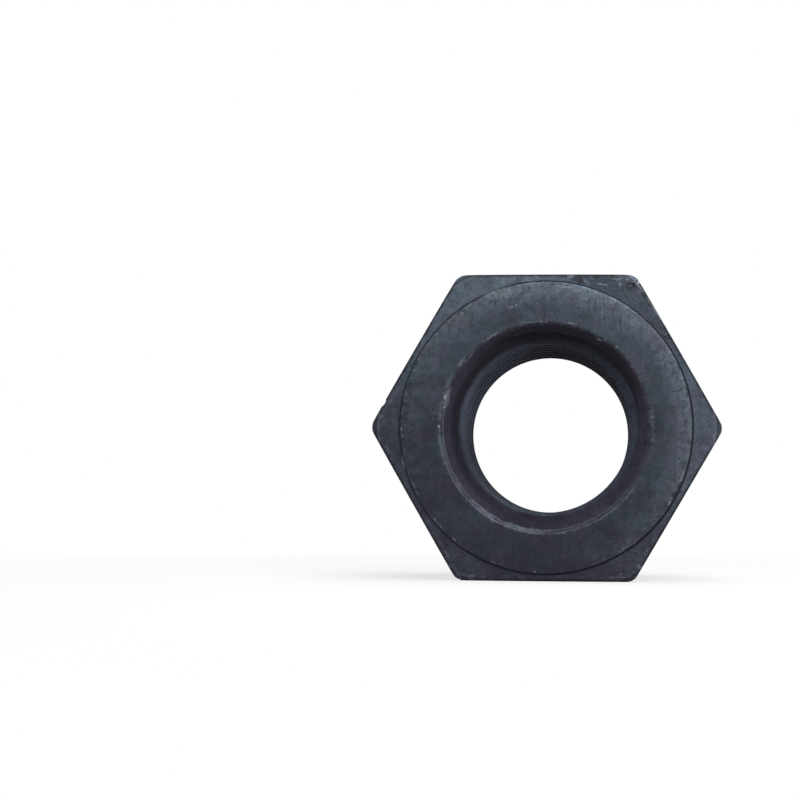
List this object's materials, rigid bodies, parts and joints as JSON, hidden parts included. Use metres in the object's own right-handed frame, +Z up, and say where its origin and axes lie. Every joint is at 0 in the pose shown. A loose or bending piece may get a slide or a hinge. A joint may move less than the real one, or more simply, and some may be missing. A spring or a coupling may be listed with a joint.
{
  "type": "heavy hex nut",
  "caption": "Heavy hexagon nut with a turned washer face, a chamfered far end and a coarse right-hand thread, in black-oxide steel.",
  "frame": {"origin": "under the middle of the nut, on the surface that it stands on", "axes": "+Z up, square to the flat it stands on; +X across the corners; the thread axis lies along Y, at half the width across flats above the surface, and the washer face looks to -Y"},
  "size_m": [0.0458, 0.0256, 0.0401],
  "materials": {
    "black_oxide_steel": "mottled blue-black oxide, satin, worn bright on a few edges"
  },
  "bodies": {
    "root": {"hex_nut": "black_oxide_steel"}
  },
  "joints": []
}
